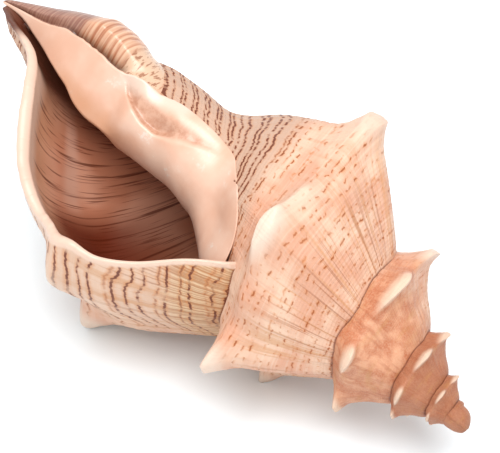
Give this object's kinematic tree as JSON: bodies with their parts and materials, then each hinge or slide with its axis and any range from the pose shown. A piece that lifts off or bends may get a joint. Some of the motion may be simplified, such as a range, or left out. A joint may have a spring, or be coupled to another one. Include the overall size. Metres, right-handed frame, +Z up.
{
  "type": "conch shell",
  "caption": "Whorled sea shell with a knobbed shoulder, a tapering spire, an open aperture and a pointed siphonal canal, lying on its side.",
  "frame": {"origin": "centre of the bounding box's footprint, on the surface the shell rests on", "axes": "+Z up as it rests, +X along the coiling axis in plan, from the canal's end towards the apex, aperture facing -Y and up"},
  "size_m": [0.1498, 0.0912, 0.0663],
  "materials": {
    "shell": "satin natural shell, peach with reddish-brown spiral lines"
  },
  "bodies": {
    "root": {"shell": "shell"}
  },
  "joints": []
}
